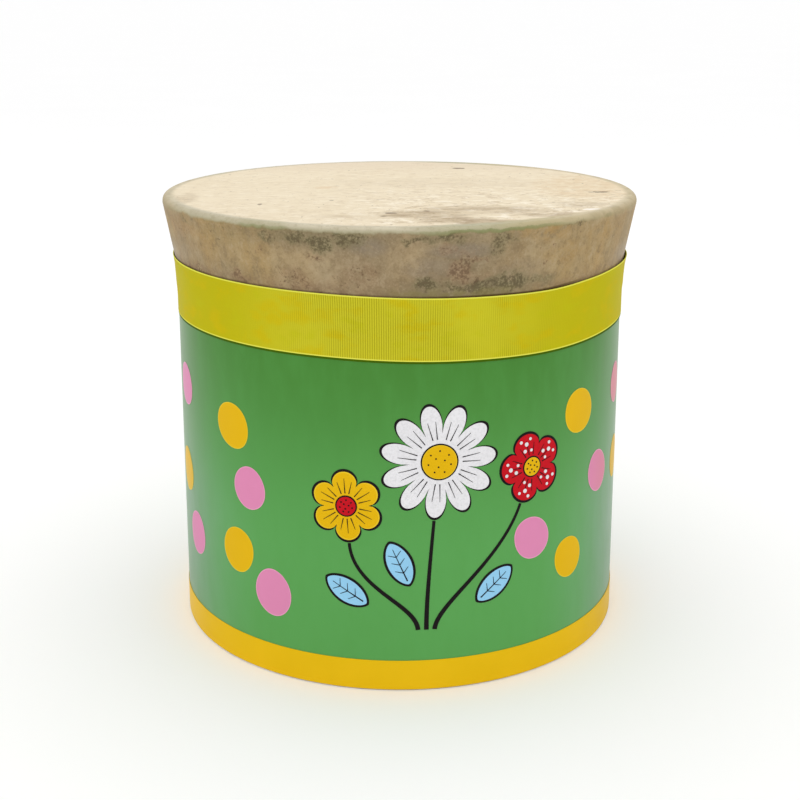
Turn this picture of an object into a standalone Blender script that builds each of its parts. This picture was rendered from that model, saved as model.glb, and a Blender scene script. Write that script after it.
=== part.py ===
"""A child's hand drum: a painted tube with a flared mouth, a glued hide head, a ribbon over the
hide's cut edge, a band round the foot, and film dots and flowers stuck on the wall.

Metres, +Z up. The origin is the centre of the foot's rim, so the drum stands on Z = 0.
The front of the drum faces -Y.
"""

from collections import namedtuple
from math import asin, atan2, cos, hypot, pi, radians, sin, tan
from random import Random

import bmesh
import bpy

# Tube
body_radius = 0.100
shell_height = 0.1931
shell_wall = 0.0042
flare_length = 0.0268
flare_angle = radians(10.7)
flare_bend_radius = 0.040
mouth_round = 0.0018
mouth_inner_bevel = 0.0010
foot_bevel = 0.0005
sides = 72
bend_steps = 3
rounding_steps = 4
weld_distance = 1e-6
crease_angle = radians(35)

# Hide head, turned down over the mouth
skin_thickness = 0.0006
skin_turn_down = 0.0391

# Ribbon over the hide's cut edge
ribbon_width = 0.0255
ribbon_below_skin = 0.0134
ribbon_thickness = 0.0004
ribbon_tilt = -0.0137
ribbon_ramp = 0.0030
ribbon_overlap = 0.018

# Band round the foot
foot_band_width = 0.0129
foot_band_lift = 0.0005
foot_band_thickness = 0.0002
foot_band_overlap = 0.012

# Film pieces on the wall
film_thickness = 0.0002
seat_gap = 0.0003
overlap_ramp = 0.008
dot_width = 0.0187
dot_height = 0.0203
dot_lean = radians(10)
round_sides = 16

# Dots in view: colour, distance round the wall from the front, share of the height of the open
# wall between the foot band and the ribbon
front_dots = (
    ("pink", -0.1205, 0.785),
    ("amber", -0.1230, 0.470),
    ("pink", -0.1105, 0.265),
    ("amber", -0.0766, 0.725),
    ("pink", -0.0672, 0.526),
    ("amber", -0.0750, 0.296),
    ("pink", -0.0555, 0.184),
    ("pink", 0.0580, 0.372),
    ("amber", 0.0800, 0.259),
    ("amber", 0.0850, 0.761),
    ("pink", 0.1030, 0.513),
    ("pink", 0.1260, 0.780),
    ("amber", 0.1300, 0.500),
)

# Dots behind, in staggered columns of three and two between the last dots in view
back_columns = 8
back_margin = 0.036
back_heights = ((0.80, 0.50, 0.20), (0.66, 0.34))
back_jitter = 0.0035
back_seed = 7

# Places in the group of flowers, as for the dots: distance round the wall from the front, share of
# the height of the open wall. A stem's place is the pull that bends it just below its flower.
places = {
    "daisy": (0.0160, 0.673),
    "amber_flower": (-0.0215, 0.524),
    "red_flower": (0.0570, 0.618),
    "stem_foot": (0.0110, 0.107),
    "stem_middle": (0.0120, 0.303),
    "stem_left": (-0.0190, 0.248),
    "stem_right": (0.0440, 0.335),
    "leaf_left": (-0.0215, 0.237),
    "leaf_right": (0.0400, 0.241),
    "leaf_middle": (0.0000, 0.335),
}

# Flowers: reach of the petals from the centre, number of petals, share of the reach where two
# petals meet, share of the reach that the centre fills, colours, stem, the stem's side of the foot
daisy_reach = 0.0235
amber_reach = 0.0145
red_reach = 0.0145
outline_margin = 0.0011
petal_sides = 6
petal_roundness = 0.55
flower_rings = 3
Flower = namedtuple("Flower", "name reach petals waist eye petal_film eye_film stem side")
flowers = (
    Flower("daisy", daisy_reach, 11, 0.50, 0.30, "white_film", "amber_film", "stem_middle", 0),
    Flower("amber_flower", amber_reach, 6, 0.62, 0.27, "amber_film", "red_film", "stem_left", -1),
    Flower("red_flower", red_reach, 5, 0.66, 0.27, "red_film", "amber_film", "stem_right", 1),
)

# Stems: they stand side by side at their foot, rise, and fan out to their flowers
stem_foot_width = 0.00195
stem_tip_width = 0.00128
stem_spacing = 0.0034
stem_rise = 0.012
stem_spread = 0.001
stem_steps = 12

# Leaves: length, width, and how far each leans from upright
leaf_length = 0.0190
leaf_width = 0.0095
leaf_sides = 14
leaf_point = 0.35
leaf_leans = {
    "leaf_left": radians(-58),
    "leaf_right": radians(50),
    "leaf_middle": radians(-24),
}

colours = {
    "green_paint": ((0.085, 0.300, 0.072), 0.30),
    "hide": ((0.62, 0.50, 0.34), 0.62),
    "yellow_ribbon": ((0.50, 0.44, 0.010), 0.55),
    "amber_film": ((0.76, 0.47, 0.008), 0.35),
    "pink_film": ((0.73, 0.24, 0.44), 0.35),
    "white_film": ((0.80, 0.79, 0.80), 0.40),
    "black_film": ((0.012, 0.010, 0.011), 0.35),
    "red_film": ((0.56, 0.010, 0.022), 0.35),
    "blue_film": ((0.30, 0.62, 0.84), 0.35),
}


def clear_scene():
    """Remove the objects that a new file starts with."""
    for obj in list(bpy.data.objects):
        bpy.data.objects.remove(obj, do_unlink=True)


def material(name):
    """The named surface, made once and shared."""
    found = bpy.data.materials.get(name)
    if found:
        return found
    colour, roughness = colours[name]
    made = bpy.data.materials.new(name)
    made.use_nodes = True
    shader = made.node_tree.nodes["Principled BSDF"]
    shader.inputs["Base Color"].default_value = (*colour, 1.0)
    shader.inputs["Roughness"].default_value = roughness
    shader.inputs["Metallic"].default_value = 0.0
    made.diffuse_color = (*colour, 1.0)
    return made


def add_piece(name, bm, surface):
    """Turn a finished bmesh into a named piece with its own surface."""
    bmesh.ops.recalc_face_normals(bm, faces=bm.faces)
    mesh = bpy.data.meshes.new(name)
    bm.to_mesh(mesh)
    bm.free()
    mesh.shade_smooth()
    mesh.set_sharp_from_angle(angle=crease_angle)
    mesh.materials.append(material(surface))
    piece = bpy.data.objects.new(name, mesh)
    bpy.context.scene.collection.objects.link(piece)


def arc(centre, radius, first, last, steps):
    """Points of an arc in the plane of radius and height."""
    points = []
    for step in range(steps + 1):
        angle = first + (last - first) * step / steps
        points.append((centre[0] + radius * cos(angle), centre[1] + radius * sin(angle)))
    return points


def flare_start():
    """Height where the lines of the straight tube and of the flare would meet."""
    return shell_height - flare_length


def bend_start():
    """Height where the straight tube begins to curve into the flare."""
    return flare_start() - flare_bend_radius * tan(flare_angle / 2)


def mouth_round_centre():
    """Centre of the rounding at the mouth's outer edge, as radius and height."""
    height = shell_height - mouth_round
    cone = body_radius + (height - flare_start()) * tan(flare_angle)
    return cone - mouth_round / cos(flare_angle), height


def wall_path(offset, bottom):
    """The outside of the tube, moved outwards by an offset, from a height up to the flat mouth."""
    bend_centre = (body_radius + flare_bend_radius, bend_start())
    bend = arc(bend_centre, flare_bend_radius - offset, pi, pi - flare_angle, bend_steps)
    rounding = arc(mouth_round_centre(), mouth_round + offset, -flare_angle, pi / 2, rounding_steps)
    return [(body_radius + offset, bottom)] + bend + rounding


def wall_radius(offset, height):
    """Radius of the tube's outside, moved outwards by an offset, below the mouth's rounding."""
    above = height - bend_start()
    bend = flare_bend_radius - offset
    if above <= 0:
        return body_radius + offset
    if above < bend * sin(flare_angle):
        return body_radius + flare_bend_radius - bend * cos(asin(above / bend))
    return body_radius + offset / cos(flare_angle) + (height - flare_start()) * tan(flare_angle)


def turned(name, profile, surface, closed):
    """Spin a profile of radius and height round the upright axis. An open one ends on the axis."""
    bm = bmesh.new()
    points = [bm.verts.new((radius, 0.0, height)) for radius, height in profile]
    edges = [bm.edges.new(pair) for pair in zip(points, points[1:])]
    if closed:
        edges.append(bm.edges.new((points[-1], points[0])))
    bmesh.ops.spin(bm, geom=points + edges, cent=(0, 0, 0), axis=(0, 0, 1), angle=2 * pi,
                   steps=sides, use_merge=True)
    bmesh.ops.remove_doubles(bm, verts=bm.verts, dist=weld_distance)
    add_piece(name, bm, surface)


def shell():
    """The tube: straight, then flared to its mouth, with the same wall all the way up."""
    outside = wall_path(0.0, foot_bevel)
    bore = body_radius - shell_wall
    inner_bend = arc((body_radius + flare_bend_radius, bend_start()),
                     flare_bend_radius + shell_wall, pi - flare_angle, pi, bend_steps)
    mouth_bore = wall_radius(-shell_wall, shell_height)
    bevel_foot = (mouth_bore - mouth_inner_bevel * tan(flare_angle), shell_height - mouth_inner_bevel)
    inside = [(mouth_bore + mouth_inner_bevel, shell_height), bevel_foot] + inner_bend
    foot = [(bore, foot_bevel), (bore + foot_bevel, 0.0), (body_radius - foot_bevel, 0.0)]
    turned("shell", outside + inside + foot, "green_paint", closed=True)


def skin_edge():
    """Height of the hide's cut edge."""
    return shell_height - skin_turn_down


def skin_head():
    """The hide: a flat disc across the mouth that turns down over the flare to its cut edge."""
    outer = wall_path(seat_gap + skin_thickness, skin_edge())
    inner = wall_path(seat_gap, skin_edge())
    rest = wall_radius(-shell_wall, shell_height)
    top = shell_height + seat_gap
    outer += [(rest, top + skin_thickness), (0.0, top + skin_thickness)]
    inner += [(rest, top), (0.0, top)]
    turned("skin_head", outer[::-1] + inner, "hide", closed=False)


def ribbon_bottom(across):
    """Height of the ribbon's lower edge at a place across the drum, which leans a little."""
    return skin_edge() - ribbon_below_skin + ribbon_tilt * across


def ribbon_seat(height):
    """Radius that the ribbon's back lies on: tube below the hide's edge, hide above it."""
    tube = wall_radius(seat_gap, height)
    hide = wall_radius(seat_gap + skin_thickness + seat_gap, height)
    rise = min(1.0, max(0.0, (height - skin_edge() + ribbon_ramp) / ribbon_ramp))
    return tube + (hide - tube) * rise


def overlap_lift(run, whole, lap, thickness):
    """How far a band stands off its seat at a distance along it: the far end lies on the first."""
    into = run - (whole - lap - overlap_ramp)
    share = min(1.0, max(0.0, into / overlap_ramp))
    return share * (thickness + seat_gap)


def band(name, surface, stations, lap, thickness, levels, seat):
    """A strip wound once round the drum from the back, its far end laid over its first.

    levels(across) gives the heights across the strip's width, seat(height) the radius below it.
    """
    whole = 2 * pi * body_radius + lap
    breaks = {whole - lap - overlap_ramp, whole - lap}
    runs = sorted({whole * step / stations for step in range(stations + 1)} | breaks)
    bm = bmesh.new()
    loops = []
    for run in runs:
        angle = run / body_radius
        lift = overlap_lift(run, whole, lap, thickness)
        heights = levels(body_radius * sin(angle))
        loop = [bm.verts.new(round_wall(angle, seat(height) + lift, height)) for height in heights]
        loop += [bm.verts.new(round_wall(angle, seat(height) + lift + thickness, height))
                 for height in reversed(heights)]
        loops.append(loop)
    count = len(loops[0])
    for first, second in zip(loops, loops[1:]):
        for place in range(count):
            following = (place + 1) % count
            bm.faces.new((first[place], second[place], second[following], first[following]))
    bm.faces.new(loops[0])
    bm.faces.new(reversed(loops[-1]))
    add_piece(name, bm, surface)


def round_wall(angle, radius, height):
    """A point at an angle measured from the back of the drum."""
    return (radius * sin(angle), radius * cos(angle), height)


def ribbon():
    """The ribbon: its edges lean, and its middle rises over the hide's cut edge."""
    def levels(across):
        bottom = ribbon_bottom(across)
        top = bottom + ribbon_width
        return [bottom, skin_edge() - ribbon_ramp, skin_edge(), (skin_edge() + top) / 2, top]
    band("ribbon", "yellow_ribbon", sides, ribbon_overlap, ribbon_thickness, levels, ribbon_seat)


def foot_band():
    """The band round the foot, just clear of what the drum stands on."""
    def levels(across):
        return [foot_band_lift, foot_band_lift + foot_band_width]
    band("foot_band", "amber_film", sides, foot_band_overlap, foot_band_thickness, levels,
         lambda height: wall_radius(seat_gap, height))


def on_wall(place, off):
    """A point on the wall: distance round from the front, height, and distance off the tube."""
    angle = place[0] / body_radius
    radius = body_radius + off
    return (radius * sin(angle), -radius * cos(angle), place[1])


def layer_offset(layer):
    """How far the back of a film layer lies off the tube."""
    return seat_gap + layer * (film_thickness + seat_gap)


def film_plate(name, surface, centre, outline, layer=0, rings=1):
    """A flat piece of film bent to the wall, filled from its centre out to its outline."""
    bm = bmesh.new()
    faces = []
    for off in (layer_offset(layer), layer_offset(layer) + film_thickness):
        middle = bm.verts.new(on_wall(centre, off))
        loops = []
        for ring in range(1, rings + 1):
            share = ring / rings
            spots = [(centre[0] + x * share, centre[1] + z * share) for x, z in outline]
            loops.append([bm.verts.new(on_wall(spot, off)) for spot in spots])
        faces.append((middle, loops))
    count = len(outline)
    for middle, loops in faces:
        for place in range(count):
            following = (place + 1) % count
            bm.faces.new((middle, loops[0][place], loops[0][following]))
            for inner, outer in zip(loops, loops[1:]):
                bm.faces.new((inner[place], outer[place], outer[following], inner[following]))
    back, front = faces[0][1][-1], faces[1][1][-1]
    for place in range(count):
        following = (place + 1) % count
        bm.faces.new((back[place], back[following], front[following], front[place]))
    add_piece(name, bm, surface)


def film_strip(name, surface, line, first_width, last_width):
    """A narrow strip of film that follows a line on the wall from one width to another."""
    bm = bmesh.new()
    loops = []
    for index, spot in enumerate(line):
        before = line[max(index - 1, 0)]
        after = line[min(index + 1, len(line) - 1)]
        run, rise = after[0] - before[0], after[1] - before[1]
        length = hypot(run, rise)
        half = 0.5 * (first_width + (last_width - first_width) * index / (len(line) - 1))
        side = (-rise / length * half, run / length * half)
        loop = []
        for off, hand in ((0.0, -1), (0.0, 1), (film_thickness, 1), (film_thickness, -1)):
            edge = (spot[0] + hand * side[0], spot[1] + hand * side[1])
            loop.append(bm.verts.new(on_wall(edge, seat_gap + off)))
        loops.append(loop)
    for first, second in zip(loops, loops[1:]):
        for place in range(len(first)):
            following = (place + 1) % len(first)
            bm.faces.new((first[place], first[following], second[following], second[place]))
    bm.faces.new(loops[0])
    bm.faces.new(reversed(loops[-1]))
    add_piece(name, bm, surface)


def oval(width, height, lean, count):
    """Outline of a leaning oval."""
    points = []
    for step in range(count):
        angle = 2 * pi * step / count
        x, z = 0.5 * width * cos(angle), 0.5 * height * sin(angle)
        points.append((x * cos(lean) - z * sin(lean), x * sin(lean) + z * cos(lean)))
    return points


def petal_outline(reach, petals, waist, margin, turn):
    """Outline of a flower: rounded petals, the first at the turn, that draw in to a waist."""
    points = []
    for step in range(petals * petal_sides):
        angle = 2 * pi * step / (petals * petal_sides)
        swell = abs(cos(petals * angle / 2)) ** petal_roundness
        radius = reach * (waist + (1 - waist) * swell) + margin
        points.append((radius * cos(angle + turn), radius * sin(angle + turn)))
    return points


def leaf_outline(lean, margin):
    """Outline of a pointed leaf about its middle, leaning from upright."""
    points = []
    for step in range(leaf_sides):
        angle = 2 * pi * step / leaf_sides
        along = (0.5 * leaf_length + margin) * cos(angle)
        across = (0.5 * leaf_width + margin) * sin(angle) * abs(sin(angle)) ** leaf_point
        points.append((across * cos(lean) + along * sin(lean), along * cos(lean) - across * sin(lean)))
    return points


def curve_between(start, pull_start, pull_end, end, steps):
    """Points of a cubic curve with two pulls."""
    points = []
    for step in range(steps + 1):
        t = step / steps
        weights = ((1 - t) ** 3, 3 * t * (1 - t) ** 2, 3 * t * t * (1 - t), t ** 3)
        knots = (start, pull_start, pull_end, end)
        points.append(tuple(sum(w * knot[axis] for w, knot in zip(weights, knots)) for axis in (0, 1)))
    return points


def open_wall():
    """Lowest and highest height of the wall left open between the foot band and the ribbon."""
    return foot_band_lift + foot_band_width, skin_edge() - ribbon_below_skin


def on_open_wall(round_from_front, share):
    """A place on the wall: distance round from the front, and height from its share."""
    low, high = open_wall()
    return round_from_front, low + share * (high - low)


def dot(number, colour, round_from_front, share):
    """One dot on the wall."""
    lean = dot_lean if round_from_front < 0 else -dot_lean
    film_plate(f"dot_{number:02d}_{colour}", f"{colour}_film",
               on_open_wall(round_from_front, share), oval(dot_width, dot_height, lean, round_sides))


def dots():
    """The dots in view, then the ones behind in columns that share out the rest of the wall."""
    number = 0
    for colour, round_from_front, share in front_dots:
        number += 1
        dot(number, colour, round_from_front, share)
    chance = Random(back_seed)
    first = max(place for _, place, _ in front_dots) + back_margin
    last = 2 * pi * body_radius + min(place for _, place, _ in front_dots) - back_margin
    low, high = open_wall()
    for column in range(back_columns):
        across = first + (last - first) * column / (back_columns - 1)
        for row, share in enumerate(back_heights[column % len(back_heights)]):
            number += 1
            colour = ("pink", "amber")[(column + row) % 2]
            shift = chance.uniform(-back_jitter, back_jitter)
            raised = chance.uniform(-back_jitter, back_jitter) / (high - low)
            dot(number, colour, across + shift, share + raised)


def stem_direction(flower):
    """The direction from a flower's centre to its stem, where one petal points."""
    centre = on_open_wall(*places[flower.name])
    pull = on_open_wall(*places[flower.stem])
    return atan2(pull[1] - centre[1], pull[0] - centre[0])


def flower_head(flower):
    """A flower: black outline, petals on it and a round centre on top."""
    centre = on_open_wall(*places[flower.name])
    turn = stem_direction(flower)
    outline = petal_outline(flower.reach, flower.petals, flower.waist, outline_margin, turn)
    petals = petal_outline(flower.reach, flower.petals, flower.waist, 0.0, turn)
    across = 2 * flower.eye * flower.reach
    film_plate(f"{flower.name}_outline", "black_film", centre, outline, layer=0, rings=flower_rings)
    film_plate(f"{flower.name}_petals", flower.petal_film, centre, petals, layer=1, rings=flower_rings)
    film_plate(f"{flower.name}_centre", flower.eye_film, centre,
               oval(across, across, 0.0, round_sides), layer=2)


def stem(flower):
    """A stem from the foot of the group to just clear of its flower's outline."""
    centre = on_open_wall(*places[flower.name])
    pull = on_open_wall(*places[flower.stem])
    foot = on_open_wall(*places["stem_foot"])
    start = (foot[0] + flower.side * stem_spacing, foot[1])
    rise = (start[0] + flower.side * stem_spread, start[1] + stem_rise)
    aim = stem_direction(flower)
    stand = flower.reach + outline_margin + seat_gap
    end = (centre[0] + stand * cos(aim), centre[1] + stand * sin(aim))
    film_strip(flower.stem, "black_film", curve_between(start, rise, pull, end, stem_steps),
               stem_foot_width, stem_tip_width)


def leaf(name, lean):
    """A leaf beside a stem: black outline with a blue face on it."""
    centre = on_open_wall(*places[name])
    film_plate(f"{name}_outline", "black_film", centre, leaf_outline(lean, outline_margin), layer=0)
    film_plate(f"{name}_face", "blue_film", centre, leaf_outline(lean, 0.0), layer=1)


def front_group():
    """Three flowers on stems that fan out from one place, with leaves beside them."""
    for flower in flowers:
        flower_head(flower)
        stem(flower)
    for name, lean in leaf_leans.items():
        leaf(name, lean)


def main():
    clear_scene()
    shell()
    skin_head()
    ribbon()
    foot_band()
    dots()
    front_group()


main()
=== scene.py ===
from math import asin, atan2, cos, degrees, hypot, pi, radians, sin, tan
from random import Random

import bmesh
import bpy
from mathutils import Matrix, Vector, noise


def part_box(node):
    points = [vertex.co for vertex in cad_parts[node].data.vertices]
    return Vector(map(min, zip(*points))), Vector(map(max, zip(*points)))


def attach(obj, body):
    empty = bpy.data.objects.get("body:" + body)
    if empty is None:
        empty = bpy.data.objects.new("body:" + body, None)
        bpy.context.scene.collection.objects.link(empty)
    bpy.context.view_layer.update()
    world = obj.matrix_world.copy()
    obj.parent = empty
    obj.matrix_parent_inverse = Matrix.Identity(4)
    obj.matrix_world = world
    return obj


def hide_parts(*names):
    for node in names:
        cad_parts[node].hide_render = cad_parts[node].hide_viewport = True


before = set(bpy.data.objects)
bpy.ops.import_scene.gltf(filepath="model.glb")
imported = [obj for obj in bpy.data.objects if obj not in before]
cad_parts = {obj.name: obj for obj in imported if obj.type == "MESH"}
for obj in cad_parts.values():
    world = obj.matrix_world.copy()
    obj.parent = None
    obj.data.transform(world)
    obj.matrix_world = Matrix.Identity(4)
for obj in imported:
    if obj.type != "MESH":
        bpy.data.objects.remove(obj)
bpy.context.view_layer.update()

# Real sizes of the drum, as in the solids
body_radius = 0.100
shell_wall = 0.0042
flare_length = 0.0268
flare_angle = radians(10.7)
flare_bend_radius = 0.040
mouth_round = 0.0018
mouth_inner_bevel = 0.0010
foot_bevel = 0.0005
skin_thickness = 0.0006
seat_gap = 0.0003
ribbon_width = 0.0255
ribbon_below_skin = 0.0134
ribbon_thickness = 0.00022
ribbon_tilt = -0.0137
ribbon_ramp = 0.0030
ribbon_overlap = 0.018
foot_band_thickness = 0.0002
foot_band_overlap = 0.012
overlap_ramp = 0.008

shell_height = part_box("shell")[1][2]
flare_start = shell_height - flare_length
skin_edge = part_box("skin_head")[0][2]
skin_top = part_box("skin_head")[1][2]
band_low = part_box("foot_band")[0][2]
band_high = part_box("foot_band")[1][2]
wall_low = band_high
wall_high = skin_edge - ribbon_below_skin

# Fineness of the visible meshes
turned_sides = 288
rib_pitch = 0.00090
film_layer = 0.00009

# Camera, worked out from the photograph's curves
camera_distance = 0.61238
camera_height = 0.28037
camera_pitch = 0.2363
focal_pixels = 1366.27
image_pixels = 800
sensor_width = 36.0
principal_x = 399.45
principal_y = 320.5


class Surface:
    """A node material being built, with short ways to add its nodes."""

    def __init__(self, name, roughness, specular=0.5):
        self.material = bpy.data.materials.new(name)
        self.material.use_nodes = True
        self.tree = self.material.node_tree
        self.shader = self.tree.nodes["Principled BSDF"]
        self.shader.inputs["Roughness"].default_value = roughness
        self.shader.inputs["Specular IOR Level"].default_value = specular
        coordinates = self.add("ShaderNodeTexCoord")
        self.place = coordinates.outputs["Object"]
        self.unrolled = coordinates.outputs["UV"]

    def feed(self, socket, value):
        if isinstance(value, bpy.types.NodeSocket):
            self.tree.links.new(value, socket)
        else:
            socket.default_value = value

    def add(self, kind, inputs=None, **settings):
        made = self.tree.nodes.new(kind)
        for key, value in settings.items():
            setattr(made, key, value)
        for key, value in (inputs or {}).items():
            self.feed(made.inputs[key], value)
        return made

    def stretched(self, source, scale, shift=(0, 0, 0)):
        """Coordinates scaled along each axis."""
        made = self.add("ShaderNodeMapping", {"Vector": source, "Scale": scale, "Location": shift})
        return made.outputs["Vector"]

    def noise(self, source, scale, detail=3.0, roughness=0.55, distortion=0.0):
        """Noise from 0 to 1."""
        made = self.add("ShaderNodeTexNoise", {"Vector": source, "Scale": scale, "Detail": detail,
                                               "Roughness": roughness, "Distortion": distortion})
        return made.outputs["Fac"]

    def between(self, value, low, high):
        """0 below low, 1 above high, smooth between. Low may be the greater of the two."""
        made = self.add("ShaderNodeMapRange", {"Value": value, "From Min": low, "From Max": high},
                        interpolation_type="SMOOTHSTEP")
        return made.outputs["Result"]

    def maths(self, operation, first, second=0.0):
        made = self.add("ShaderNodeMath", {0: first, 1: second}, operation=operation)
        return made.outputs[0]

    def product(self, *values):
        result = values[0]
        for value in values[1:]:
            result = self.maths("MULTIPLY", result, value)
        return result

    def mix(self, share, first, second, mode="MIX"):
        """Second over first by a share."""
        made = self.add("ShaderNodeMix", data_type="RGBA", blend_type=mode)
        self.feed(made.inputs[0], share)
        self.feed(made.inputs[6], first)
        self.feed(made.inputs[7], second)
        return made.outputs[2]

    def axes(self, source):
        """The three parts of a vector."""
        made = self.add("ShaderNodeSeparateXYZ", {"Vector": source})
        return made.outputs

    def blob(self, across, along, centre, reach):
        """1 at a centre falling to 0 at an oval reach."""
        x = self.maths("DIVIDE", self.maths("SUBTRACT", across, centre[0]), reach[0])
        y = self.maths("DIVIDE", self.maths("SUBTRACT", along, centre[1]), reach[1])
        span = self.maths("ADD", self.maths("MULTIPLY", x, x), self.maths("MULTIPLY", y, y))
        return self.between(span, 1.0, 0.0)

    def colour(self, value):
        self.feed(self.shader.inputs["Base Color"], value)

    def roughness(self, value):
        self.feed(self.shader.inputs["Roughness"], value)

    def bump(self, height, distance, strength=1.0):
        made = self.add("ShaderNodeBump", {"Height": height, "Distance": distance,
                                           "Strength": strength})
        self.feed(self.shader.inputs["Normal"], made.outputs["Normal"])


def rgb(red, green, blue):
    """A linear colour."""
    return (red, green, blue, 1.0)


def arc(centre, radius, first, last, steps):
    """Points of an arc in the plane of radius and height."""
    points = []
    for step in range(steps + 1):
        angle = first + (last - first) * step / steps
        points.append((centre[0] + radius * cos(angle), centre[1] + radius * sin(angle)))
    return points


def bend_start():
    """Height where the straight tube begins to curve into the flare."""
    return flare_start - flare_bend_radius * tan(flare_angle / 2)


def mouth_round_centre():
    """Centre of the rounding at the mouth's outer edge, as radius and height."""
    height = shell_height - mouth_round
    cone = body_radius + (height - flare_start) * tan(flare_angle)
    return cone - mouth_round / cos(flare_angle), height


def wall_radius(offset, height):
    """Radius of the tube's outside, moved outwards by an offset, below the mouth's rounding."""
    above = height - bend_start()
    bend = flare_bend_radius - offset
    if above <= 0:
        return body_radius + offset
    if above < bend * sin(flare_angle):
        return body_radius + flare_bend_radius - bend * cos(asin(above / bend))
    return body_radius + offset / cos(flare_angle) + (height - flare_start) * tan(flare_angle)


def evenly(first, last, steps):
    return [first + (last - first) * step / steps for step in range(steps + 1)]


def add_mesh(name, bm, material, crease=radians(40)):
    """Turn a finished bmesh into a smooth-shaded piece with a material, riding on the drum."""
    bmesh.ops.recalc_face_normals(bm, faces=bm.faces)
    mesh = bpy.data.meshes.new(name)
    bm.to_mesh(mesh)
    bm.free()
    mesh.shade_smooth()
    mesh.set_sharp_from_angle(angle=crease)
    mesh.materials.append(material)
    piece = bpy.data.objects.new(name, mesh)
    bpy.context.scene.collection.objects.link(piece)
    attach(piece, "root")
    return piece


def turned(name, profile, material, shape=None, closed=True, sides=turned_sides):
    """Revolve a profile of (radius, height), with a map of metres round and metres along it.

    shape(angle, radius, height, place) may move each point. An open profile starts and ends on
    the axis.
    """
    bm = bmesh.new()
    layer = bm.loops.layers.uv.new("unrolled")
    runs = [0.0]
    for first, second in zip(profile, profile[1:]):
        runs.append(runs[-1] + hypot(second[0] - first[0], second[1] - first[1]))
    rings = []
    for place, (radius, height) in enumerate(profile):
        if radius < 1e-7:
            rings.append([bm.verts.new((0.0, 0.0, height))])
            continue
        ring = []
        for side in range(sides):
            angle = 2 * pi * side / sides
            r, z = (radius, height) if shape is None else shape(angle, radius, height, place)
            ring.append(bm.verts.new((r * sin(angle), -r * cos(angle), z)))
        rings.append(ring)
    pairs = list(zip(range(len(rings)), range(1, len(rings))))
    if closed:
        pairs.append((len(rings) - 1, 0))
    for low, high in pairs:
        for side in range(sides):
            following = (side + 1) % sides
            corners = [(rings[low], side, side), (rings[low], following, side + 1),
                       (rings[high], following, side + 1), (rings[high], side, side)]
            spots = []
            for number, (ring, index, turn) in enumerate(corners):
                point = ring[index % len(ring)]
                run = runs[low] if number < 2 else (runs[high] if high else runs[-1])
                if point not in [spot[0] for spot in spots]:
                    spots.append((point, (2 * pi * body_radius * turn / sides, run)))
            face = bm.faces.new([spot[0] for spot in spots])
            for loop, spot in zip(face.loops, spots):
                loop[layer].uv = spot[1]
    return add_mesh(name, bm, material)


def waver(angle, height, scale, size, seed):
    """Smooth seeded unevenness round the drum."""
    spot = Vector((sin(angle) * scale, cos(angle) * scale, height * scale * 10 + seed))
    return size * noise.noise(spot)


def smooth_step(value, low, high):
    """0 below low, 1 above high, smooth between. Low may be the greater of the two."""
    share = min(1.0, max(0.0, (value - low) / (high - low)))
    return share * share * (3 - 2 * share)


def ribbon_wave(turn, share):
    """How far a line along the ribbon strays from its plane, by the degrees round from the front."""
    behind = smooth_step(abs(turn), 175, 110)
    left = 0.0007 * smooth_step(turn, 12, -22) * behind
    right = 0.0024 * smooth_step(turn, 30, 78) * smooth_step(turn, 125, 84)
    drawn = 0.0005 * share * smooth_step(turn, 36, 50) * smooth_step(turn, 110, 80)
    return left + right + drawn - 0.0002 * behind


def ribbon_line(surface, across, share):
    """The height of a line along the ribbon's front, on the material's coordinates."""
    level = skin_edge - ribbon_below_skin + share * ribbon_width - 0.0002
    tilted = surface.maths("ADD", surface.product(across, ribbon_tilt), level)
    left = surface.product(surface.between(across, 0.021, -0.037), 0.0007)
    right = surface.product(surface.between(across, 0.048, 0.0995), 0.0024)
    drawn = surface.product(surface.between(across, 0.058, 0.078), 0.0005 * share)
    wave = surface.maths("ADD", left, surface.maths("ADD", right, drawn))
    return surface.maths("ADD", tilted, wave)


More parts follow.
